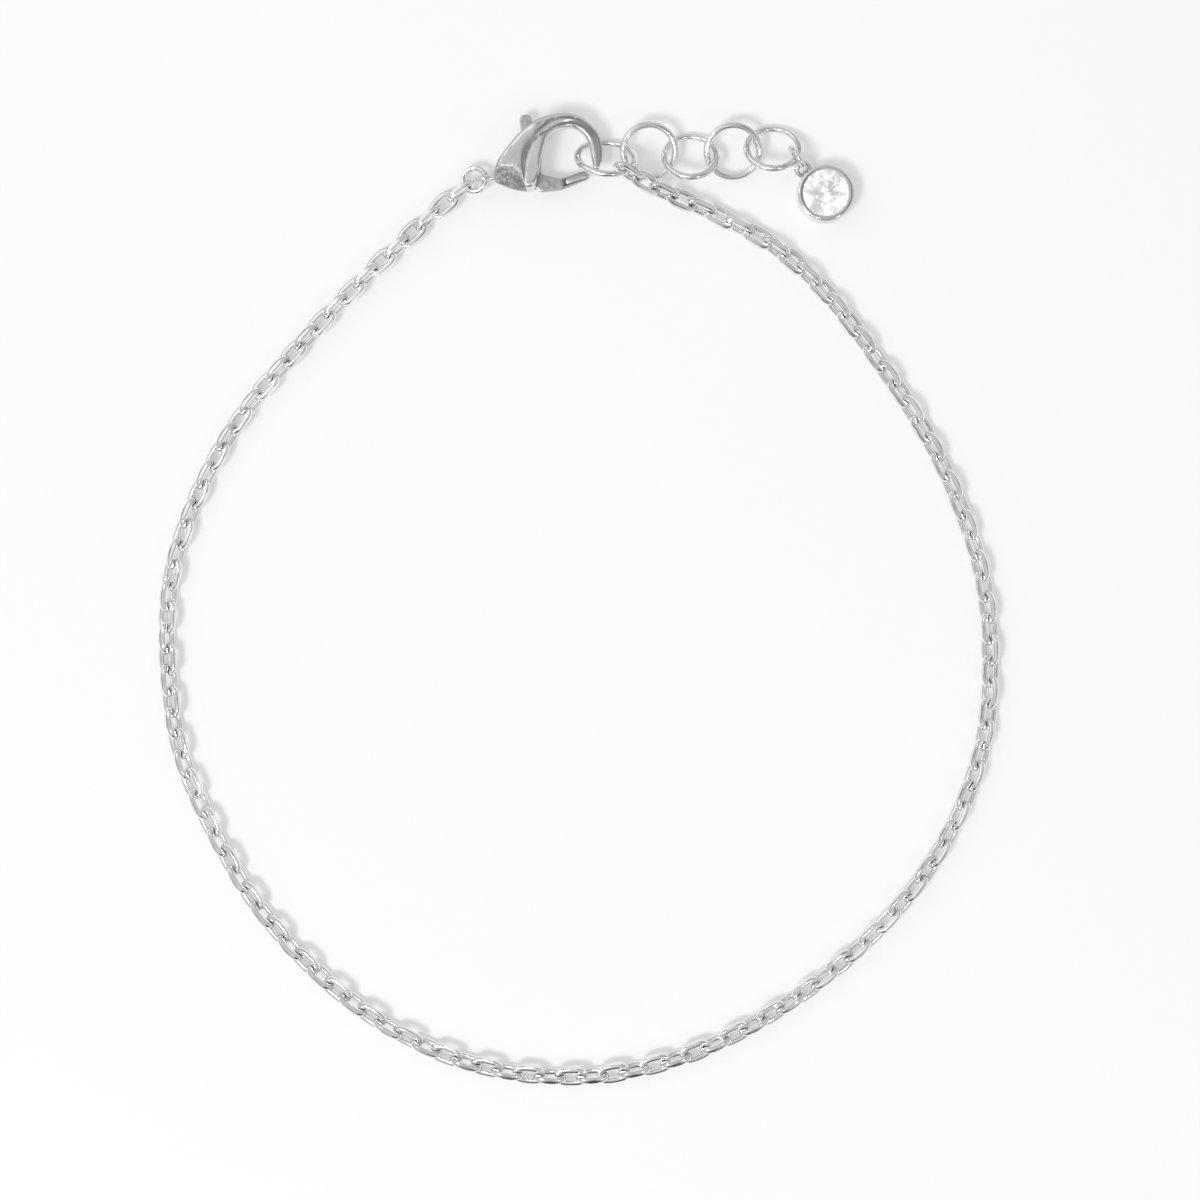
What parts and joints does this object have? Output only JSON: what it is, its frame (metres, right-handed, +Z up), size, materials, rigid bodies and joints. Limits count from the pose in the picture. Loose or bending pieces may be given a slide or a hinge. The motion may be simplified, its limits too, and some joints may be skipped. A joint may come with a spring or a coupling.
{
  "type": "cable chain bracelet",
  "caption": "Fine oval cable chain bracelet, closed by a lobster clasp on a ring extender that ends in a round bezel-set stone drop",
  "frame": {"origin": "middle of the bracelet's box in plan, on the surface that it lies on", "axes": "+Z up from the surface, +Y towards the clasp along the bracelet's longer side, +X to the right with the drop"},
  "size_m": [0.0548, 0.0632, 0.0035],
  "materials": {
    "chain": "polished silver tone, diamond cut",
    "rings": "polished silver tone wire",
    "clasp": "polished silver tone casting",
    "lever": "tumbled silver tone plate",
    "setting": "polished silver tone",
    "stone": "clear faceted stone"
  },
  "bodies": {
    "root": {"chain_left": "chain", "chain_right": "chain", "jump_ring": "rings", "clasp_body": "clasp", "extender_ring_1": "rings", "extender_ring_2": "rings", "extender_ring_3": "rings", "extender_ring_4": "rings", "extender_ring_5": "rings", "drop_ring": "rings", "drop_setting": "setting", "drop_stone": "stone"},
    "lever": {"clasp_lever": "lever"}
  },
  "joints": [
    {"name": "lever_hinge", "type": "hinge", "parent": "root", "child": "lever", "pos_m": [-0.00311, 0.02825, 0.00095], "axis": [0, 0, 1], "range_deg": [0, 18], "stiffness_Nm_per_rad": 0.002}
  ]
}
